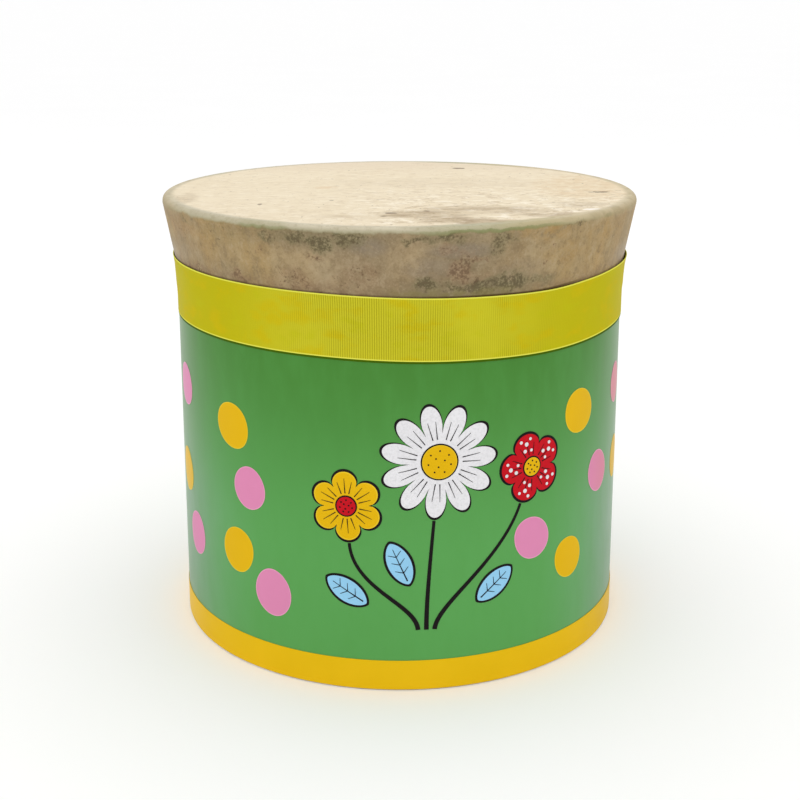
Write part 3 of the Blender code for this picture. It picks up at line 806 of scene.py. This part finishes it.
def ribbon():
    """The ribbon over the hide's cut edge, with its ribs and rolled selvedges as real relief, and a
    strip below its lower edge for a painted shadow line.
    """
    rib_depth = 0.00008
    points_per_rib = 3
    # The strip below the lower edge that carries the painted shadow line
    shadow_line_share = 0.034

    def seat(height):
        lead = 0.5 * ribbon_ramp
        rise = min(1.0, max(0.0, (height - skin_edge + ribbon_ramp) / ribbon_ramp))
        smooth = rise * rise * (3 - 2 * rise)
        over = hide_off(height + lead) + 0.00005
        return wall_radius(0.00003 + (over - 0.00003) * smooth, height)

    def levels(angle, share):
        bottom = skin_edge - ribbon_below_skin + ribbon_tilt * body_radius * sin(angle)
        turn = 180 - degrees(angle)
        return bottom + ribbon_wave(max(turn, -180), share) + share * ribbon_width

    def section(index):
        crest = rib_depth if index % points_per_rib else 0.0
        shares = (-shadow_line_share, 0.0, 0.009, 0.019, 0.026, 0.25, 0.40, 0.52, 0.64, 0.84, 0.974, 0.981,
                  0.991, 1.0)
        rolled = {-shadow_line_share: 0.0, 0.0: 0.00004, 0.009: 0.00011, 0.019: 0.00009, 0.981: 0.00009,
                  0.991: 0.00011, 1.0: 0.0}
        return [(share, rolled.get(share, crest)) for share in shares]

    def pucker(angle, share):
        lifted = max(0.0, 1 - ((angle - radians(101)) / radians(18)) ** 2)
        loose = 0.00020 * max(0.0, sin(angle))
        wave = 0.00002 * (1 + noise.noise(Vector((sin(angle) * 6, cos(angle) * 6, share * 1.5))))
        top_edge = (max(0.0, share - 0.66) / 0.34) ** 1.5
        return wave + loose + (0.00012 + 0.00036 * lifted) * top_edge

    ribs = round((2 * pi * body_radius + ribbon_overlap) / rib_pitch)
    stations = ribs * points_per_rib
    piece = wound_band("drum_ribbon", ribbon_cloth(), ribbon_overlap, ribbon_thickness, stations,
                       section, levels, seat, pucker)
    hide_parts("ribbon")


def film(name, colour, rim_colour=None, rim_from=0.95, grain=0.0):
    """Satin film in one of the drum's colours, a little uneven, with a paler line at its edge and
    painted shade towards the drum's right side.
    """
    surface = Surface(name, 0.38, specular=0.04)
    reach = surface.axes(surface.unrolled)[0]
    broad = surface.noise(surface.place, 40.0, 3.0)
    fine = surface.noise(surface.place, 900.0, 2.0)
    deep = rgb(*[part * 0.93 for part in colour])
    pale = rgb(*[min(1.0, part * 1.05 + 0.004) for part in colour])
    body = surface.mix(broad, deep, pale)
    if grain:
        body = surface.mix(surface.product(surface.between(fine, 0.40, 0.70), grain), body,
                           rgb(*[part * 0.55 for part in colour]))
    across = surface.axes(surface.place)[0]
    # Painted shade: darker and yellower towards the drum's right side.
    body = surface.mix(surface.between(across, 0.076, 0.098), body, rgb(0.90, 0.90, 0.60), "MULTIPLY")
    if rim_colour:
        body = surface.mix(surface.product(surface.between(reach, rim_from, rim_from + 0.02), 0.75),
                           body, rgb(*rim_colour))
    surface.colour(body)
    surface.roughness(surface.maths("ADD", surface.product(broad, 0.10), 0.28))
    surface.bump(fine, 0.00003, 0.3)
    return surface.material


def foot_band():
    """The amber band round the foot."""
    def levels(angle, share):
        return band_low + share * (band_high - band_low)

    def section(index):
        return [(share, 0.0) for share in (0.0, 0.02, 0.25, 0.5, 0.75, 0.98, 1.0)]

    def pucker(angle, share):
        return 0.000012 * (1 + noise.noise(Vector((sin(angle) * 9, cos(angle) * 9, share))))
    piece = wound_band("drum_foot_band", materials["amber_band"], foot_band_overlap,
                       foot_band_thickness, 360, section, levels,
                       lambda height: body_radius + 0.00003, pucker)
    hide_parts("foot_band")


def on_wall(place, off):
    """A point on the wall: distance round from the front, height, and distance off the tube."""
    angle = place[0] / body_radius
    radius = body_radius + off
    return (radius * sin(angle), -radius * cos(angle), place[1])


def on_open_wall(round_from_front, share):
    """A place on the open wall between foot band and ribbon, by a share of the wall's height."""
    return round_from_front, wall_low + share * (wall_high - wall_low)


def centre_of(node):
    """A node's centre, as distance round from the front and height."""
    low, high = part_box(node)
    middle = [(low[axis] + high[axis]) / 2 for axis in range(3)]
    return atan2(middle[0], -middle[1]) * body_radius, middle[2]


def add_plate(bm, layer, centre, outline, level, rings):
    """A closed film piece bent to the wall, mapped by its share of reach."""
    back_off = 0.00002 + level * film_layer
    count = len(outline)
    rims = []
    for off in (back_off, back_off + film_layer):
        middle = bm.verts.new(on_wall(centre, off))
        loops = []
        for ring in range(1, rings + 1):
            share = ring / rings
            loops.append([bm.verts.new(on_wall((centre[0] + x * share, centre[1] + z * share), off))
                          for x, z in outline])
        for place in range(count):
            following = (place + 1) % count
            bm.faces.new((middle, loops[0][place], loops[0][following]))
            for inner, outer in zip(loops, loops[1:]):
                bm.faces.new((inner[place], outer[place], outer[following], inner[following]))
        marks = {middle: 0.0}
        for ring, loop in enumerate(loops):
            for point in loop:
                marks[point] = (ring + 1) / rings
        rims.append((loops[-1], marks))
    for place in range(count):
        following = (place + 1) % count
        bm.faces.new((rims[0][0][place], rims[0][0][following], rims[1][0][following],
                      rims[1][0][place]))
    marks = {**rims[0][1], **rims[1][1]}
    for point, share in marks.items():
        for loop in point.link_loops:
            loop[layer].uv = (share, 0.0)


def film_piece(name, node, material, plates, rings=10):
    """One film piece made of one or more plates, each (centre, outline, level)."""
    bm = bmesh.new()
    layer = bm.loops.layers.uv.new("unrolled")
    for centre, outline, level in plates:
        add_plate(bm, layer, centre, outline, level, rings)
    piece = add_mesh(name, bm, material)
    if node:
        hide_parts(node)
    return piece


def oval(width, height, lean, count, chance=None, unevenness=0.0):
    """Outline of a leaning oval, drawn a little unevenly."""
    phases = [chance.uniform(0, 2 * pi) for _ in range(3)] if chance else [0, 0, 0]
    points = []
    for step in range(count):
        angle = 2 * pi * step / count
        swell = 1 + unevenness * sum(sin((turn + 2) * angle + phase) / (turn + 1)
                                     for turn, phase in enumerate(phases))
        x, z = 0.5 * width * swell * cos(angle), 0.5 * height * swell * sin(angle)
        points.append((x * cos(lean) - z * sin(lean), x * sin(lean) + z * cos(lean)))
    return points


# Dots in view that are cut unlike the rest: width, height, and degrees that each leans to the left
hand_cut_dots = {
    "dot_01_pink": (0.0178, 0.0188, 10),
    "dot_02_amber": (0.0168, 0.0200, 10),
    "dot_03_pink": (0.0172, 0.0200, 0),
    "dot_04_amber": (0.0189, 0.0199, 45),
    "dot_05_pink": (0.0174, 0.0187, 24),
    "dot_06_amber": (0.0185, 0.0200, 0),
    "dot_07_pink": (0.0184, 0.0204, 2),
    "dot_08_pink": (0.0172, 0.0192, 46),
    "dot_09_amber": (0.0168, 0.0190, 30),
    "dot_10_amber": (0.0190, 0.0195, 10),
    "dot_11_pink": (0.0174, 0.0196, 25),
    "dot_12_pink": (0.0168, 0.0182, 0),
    "dot_13_amber": (0.0168, 0.0196, 0),
}


def dots():
    """A film dot over each dot of the solids, each outline a little different."""
    chance = Random(11)
    names = sorted(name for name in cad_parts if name.startswith("dot_"))
    for name in names:
        colour = name.split("_")[-1]
        centre = centre_of(name)
        width, height, lean = hand_cut_dots.get(name, (0.0187, 0.0203, 10 if centre[0] < 0 else -10))
        outline = oval(width, height, radians(lean), 72, chance, 0.018)
        film_piece(f"film_{name}", name, materials[colour],
                   [(centre, outline, 0)], rings=20)


def petal_outline(reach, petals, waist, margin, turn, per_petal=24):
    """Outline of a flower: rounded petals that draw in to a waist, a share of the reach."""
    points = []
    for step in range(petals * per_petal):
        angle = 2 * pi * step / (petals * per_petal)
        swell = abs(cos(petals * angle / 2)) ** 0.55
        radius = reach * (waist + (1 - waist) * swell) + margin
        points.append((radius * cos(angle + turn), radius * sin(angle + turn)))
    return points


def strip_outline(line, width_at):
    """Left and right edges of a strip along a line, whose width varies with the share along it."""
    left, right = [], []
    for index, spot in enumerate(line):
        before = line[max(index - 1, 0)]
        after = line[min(index + 1, len(line) - 1)]
        run, rise = after[0] - before[0], after[1] - before[1]
        length = hypot(run, rise)
        half = 0.5 * width_at(index / (len(line) - 1))
        left.append((spot[0] - rise / length * half, spot[1] + run / length * half))
        right.append((spot[0] + rise / length * half, spot[1] - run / length * half))
    return left, right


def add_strip(bm, line, width_at, level):
    """A closed strip of film along a line on the wall."""
    low = 0.00002 + level * film_layer
    left, right = strip_outline(line, width_at)
    loops = []
    for a, b in zip(left, right):
        loops.append([bm.verts.new(on_wall(spot, off)) for spot, off in
                      ((a, low), (b, low), (b, low + film_layer), (a, low + film_layer))])
    for first, second in zip(loops, loops[1:]):
        for place in range(4):
            following = (place + 1) % 4
            bm.faces.new((first[place], first[following], second[following], second[place]))
    bm.faces.new(loops[0])
    bm.faces.new(reversed(loops[-1]))


def strips(name, node, material, lines):
    """A piece of one or more strips, each (line, width function, level)."""
    bm = bmesh.new()
    for line, width_at, level in lines:
        add_strip(bm, line, width_at, level)
    piece = add_mesh(name, bm, material)
    if node:
        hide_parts(node)


def flower(name, petals, waist, turn, petal_slot, eye_slot, eye_share, reach):
    """Black outline, petals with drawn lines and a round centre with a ring of seeds."""
    centre = centre_of(f"{name}_centre")
    outline_margin = 0.0011
    film_piece(f"film_{name}_outline", f"{name}_outline", materials["black"],
               [(centre, petal_outline(reach, petals, waist, outline_margin, turn), 0)], rings=14)
    film_piece(f"film_{name}_petals", f"{name}_petals", materials[petal_slot[:-5]],
               [(centre, petal_outline(reach, petals, waist, 0.0, turn), 1)], rings=14)
    veins = []
    for petal in range(petals):
        for side in (-0.17, 0.17) if petals > 8 else (-0.28, 0.0, 0.28):
            angle = turn + 2 * pi * petal / petals + side * 2 * pi / petals
            start, stop = eye_share + 0.10, 0.72 if side else 0.80
            line = [(centre[0] + reach * t * cos(angle), centre[1] + reach * t * sin(angle))
                    for t in evenly(start, stop, 6)]
            veins.append((line, lambda t: 0.00042 * (1 - 0.65 * t), 2))
    strips(f"ink_{name}_lines", None, materials["black"], veins)
    eye = eye_share * reach
    film_piece(f"ink_{name}_ring", None, materials["black"],
               [(centre, oval(2 * eye + 0.0012, 2 * eye + 0.0012, 0, 64), 2.1)], rings=8)
    film_piece(f"film_{name}_centre", f"{name}_centre", materials[eye_slot[:-5]],
               [(centre, oval(2 * eye, 2 * eye, 0, 64), 3.2)], rings=8)
    seeds = []
    for number, share in ((3, 0.30), (7, 0.66)):
        for seed in range(number):
            angle = 2 * pi * seed / number + share
            spot = (centre[0] + eye * share * cos(angle), centre[1] + eye * share * sin(angle))
            seeds.append((spot, oval(0.0007, 0.0007, 0, 16), 4.3))
    film_piece(f"ink_{name}_seeds", None, materials["black"], seeds, rings=2)
    return centre, reach


def spots_on(centre, reach, petals, turn):
    """White spots scattered over the petals of the red flower."""
    spots = []
    for petal in range(petals):
        axis = turn + 2 * pi * petal / petals
        for share, swing, size in ((0.50, -0.24, 0.0013), (0.55, 0.25, 0.0016), (0.72, 0.02, 0.0018),
                                   (0.84, -0.22, 0.0013), (0.86, 0.24, 0.0014)):
            angle = axis + swing * 1.3 * 2 * pi / petals / 2
            spot = (centre[0] + reach * share * cos(angle), centre[1] + reach * share * sin(angle))
            spots.append((spot, oval(size, size, 0, 24), 3.1))
    film_piece("ink_red_flower_spots", None, materials["white"], spots, rings=2)


def curve_between(start, pull_start, pull_end, end, steps):
    """Points of a cubic curve with two pulls."""
    points = []
    for step in range(steps + 1):
        t = step / steps
        weights = ((1 - t) ** 3, 3 * t * (1 - t) ** 2, 3 * t * t * (1 - t), t ** 3)
        knots = (start, pull_start, pull_end, end)
        points.append(tuple(sum(w * knot[axis] for w, knot in zip(weights, knots)) for axis in (0, 1)))
    return points


def towards(centre, pull):
    """The direction from a flower to the last pull of its stem, where a petal points."""
    return atan2(pull[1] - centre[1], pull[0] - centre[0])


def stem_line(centre, reach, pull, side):
    """A stem's line, from the foot of the group to a petal of its flower."""
    stem_foot = on_open_wall(0.0110, 0.107)
    aim = towards(centre, pull)
    stand = reach + 0.0011 + seat_gap
    end = (centre[0] + stand * cos(aim), centre[1] + stand * sin(aim))
    start = (stem_foot[0] + side, stem_foot[1])
    return curve_between(start, (start[0] + 0.3 * side, start[1] + 0.012), pull, end, 60)


def leaf_outline(length, width, lean, margin):
    """Outline of a pointed leaf about its middle, leaning from upright."""
    points = []
    for step in range(72):
        angle = 2 * pi * step / 72
        along = (0.5 * length + margin) * cos(angle)
        across = (0.5 * width + margin) * sin(angle) * abs(sin(angle)) ** 0.35
        points.append((across * cos(lean) + along * sin(lean), along * cos(lean) - across * sin(lean)))
    return points


def leaf(name, lean):
    """A light blue leaf on its black outline, with a drawn midrib and side veins."""
    centre = centre_of(f"{name}_outline")
    length, width = 0.0190, 0.0095
    film_piece(f"film_{name}_outline", f"{name}_outline", materials["black"],
               [(centre, leaf_outline(length, width, lean, 0.0011), 0)], rings=8)
    film_piece(f"film_{name}_face", f"{name}_face", materials["blue"],
               [(centre, leaf_outline(length, width, lean, 0.0), 1)], rings=8)

    def at(along, across):
        return (centre[0] + across * cos(lean) + along * sin(lean),
                centre[1] + along * cos(lean) - across * sin(lean))
    lines = [([at(length * t, 0.0) for t in evenly(-0.42, 0.36, 10)],
              lambda t: 0.00055 * (1 - 0.6 * t), 2)]
    for share in (-0.22, -0.02, 0.17):
        for hand in (-1, 1):
            line = [at(length * (share + 0.10 * t), hand * width * 0.30 * t) for t in evenly(0, 1, 4)]
            lines.append((line, lambda t: 0.00036 * (1 - 0.5 * t), 2))
    strips(f"ink_{name}_veins", None, materials["black"], lines)


def decoration():
    """The group of three flowers, their stems and leaves."""
    step = 0.0034
    pulls = {"daisy": on_open_wall(0.0120, 0.303), "amber_flower": on_open_wall(-0.0190, 0.248),
             "red_flower": on_open_wall(0.0440, 0.335)}
    turns = {name: towards(centre_of(f"{name}_centre"), pull) for name, pull in pulls.items()}
    daisy = flower("daisy", 11, 0.50, turns["daisy"], "white_film", "amber_film", 0.30, 0.0235)
    amber = flower("amber_flower", 6, 0.62, turns["amber_flower"], "amber_film", "red_film", 0.27,
                   0.0145)
    red = flower("red_flower", 5, 0.66, turns["red_flower"], "red_film", "amber_film", 0.27, 0.0145)
    spots_on(red[0], red[1], 5, turns["red_flower"])
    for name, (centre, reach), pull, side in (
            ("stem_left", amber, pulls["amber_flower"], -step),
            ("stem_middle", daisy, pulls["daisy"], 0.0),
            ("stem_right", red, pulls["red_flower"], step)):
        strips(f"film_{name}", name, materials["black"],
               [(stem_line(centre, reach, pull, side), lambda t: 0.0017 * (1.15 - 0.4 * t), 0)])
    leaf("leaf_left", radians(-58))
    leaf("leaf_right", radians(50))
    leaf("leaf_middle", radians(-24))


def studio():
    """Plain pale floor, soft light from all round and above, and the photograph's camera."""
    bm = bmesh.new()
    bmesh.ops.create_grid(bm, x_segments=2, y_segments=2, size=60.0)
    mesh = bpy.data.meshes.new("floor")
    bm.to_mesh(mesh)
    bm.free()
    floor = bpy.data.objects.new("floor", mesh)
    bpy.context.scene.collection.objects.link(floor)
    surface = Surface("floor_paint", 0.9, specular=0.1)
    surface.colour(surface.mix(surface.noise(surface.place, 3.0), rgb(0.965, 0.965, 0.965),
                               rgb(0.985, 0.985, 0.985)))
    mesh.materials.append(surface.material)

    world = bpy.data.worlds.new("studio")
    world.use_nodes = True
    world.node_tree.nodes["Background"].inputs["Color"].default_value = rgb(1.0, 1.0, 1.0)
    world.node_tree.nodes["Background"].inputs["Strength"].default_value = 1.02
    bpy.context.scene.world = world

    for name, place, size, power in (("overhead", (0.0, 0.15, 1.3), 1.2, 1.6),
                                     ("front", (-0.3, -1.5, 0.9), 1.0, 1.6)):
        lamp = bpy.data.lights.new(name, "AREA")
        lamp.size = size
        lamp.energy = power
        made = bpy.data.objects.new(name, lamp)
        made.location = place
        made.visible_camera = False
        made.rotation_euler = (Vector((0, 0, 0.12)) - Vector(place)).to_track_quat("-Z", "Y").to_euler()
        bpy.context.scene.collection.objects.link(made)

    eye = bpy.data.cameras.new("photo_view")
    eye.sensor_width = sensor_width
    eye.lens = focal_pixels / image_pixels * sensor_width
    eye.shift_x = (image_pixels / 2 - principal_x) / image_pixels
    eye.shift_y = (principal_y - image_pixels / 2) / image_pixels
    camera = bpy.data.objects.new("photo_view", eye)
    camera.location = (0.0, -camera_distance, camera_height)
    camera.rotation_euler = (pi / 2 - camera_pitch, 0.0, 0.0)
    bpy.context.scene.collection.objects.link(camera)
    bpy.context.scene.camera = camera
    bpy.context.scene.view_settings.view_transform = "Standard"


materials = {
    "amber": film("amber_film", (0.725, 0.432, 0.0030), (0.80, 0.56, 0.030), 0.955),
    "amber_band": film("amber_band", (0.765, 0.472, 0.0045)),
    "pink": film("pink_film", (0.680, 0.236, 0.415), (0.82, 0.36, 0.53), 0.955),
    "white": film("white_film", (0.76, 0.75, 0.77), grain=0.22),
    "black": film("black_film", (0.010, 0.007, 0.008)),
    "red": film("red_film", (0.54, 0.006, 0.014), grain=0.15),
    "blue": film("blue_film", (0.28, 0.57, 0.80)),
}

shell()
skin_head()
ribbon()
foot_band()
dots()
decoration()
studio()
